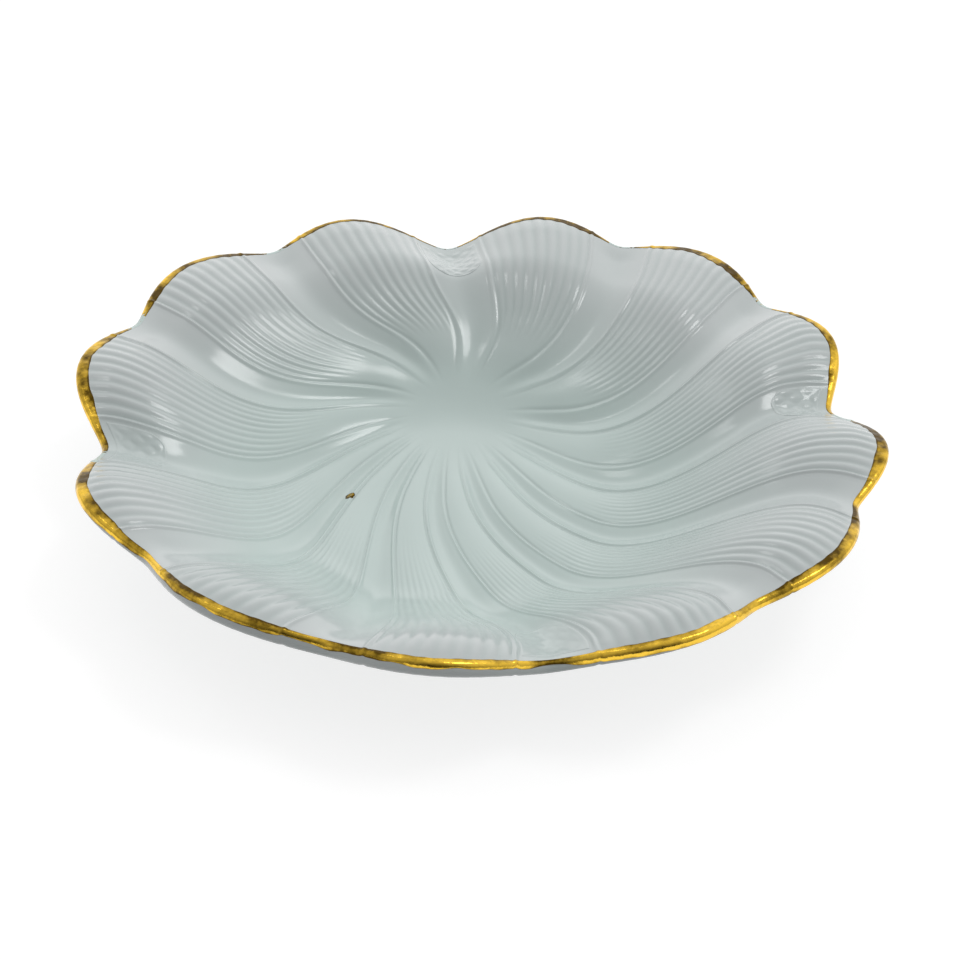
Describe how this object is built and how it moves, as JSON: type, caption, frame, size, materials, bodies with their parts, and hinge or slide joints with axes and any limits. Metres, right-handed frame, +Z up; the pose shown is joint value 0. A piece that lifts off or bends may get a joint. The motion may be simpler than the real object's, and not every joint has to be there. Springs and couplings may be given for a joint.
{
  "type": "scalloped dessert plate",
  "caption": "Dished porcelain dessert plate with a scalloped, gilt-edged rim, fluted lobes that swirl into an off-centre eye, lattice panels and a turned foot ring.",
  "frame": {"origin": "on the table surface, under the middle of the scalloped outline", "axes": "+Z up out of the dish, +Y to the lattice panel at the back, +X to the lattice panel at the right"},
  "size_m": [0.2076, 0.21, 0.0331],
  "materials": {
    "porcelain": "glossy clear glaze over white porcelain",
    "foot": "glazed sides, wiped bare on the standing face",
    "gold": "worn burnished gold over the glaze"
  },
  "bodies": {
    "root": {"shell": "porcelain", "foot_ring": "foot", "gilt_edge": "gold", "panel_back": "porcelain", "panel_right": "porcelain", "panel_front": "porcelain", "panel_left": "porcelain"}
  },
  "joints": []
}
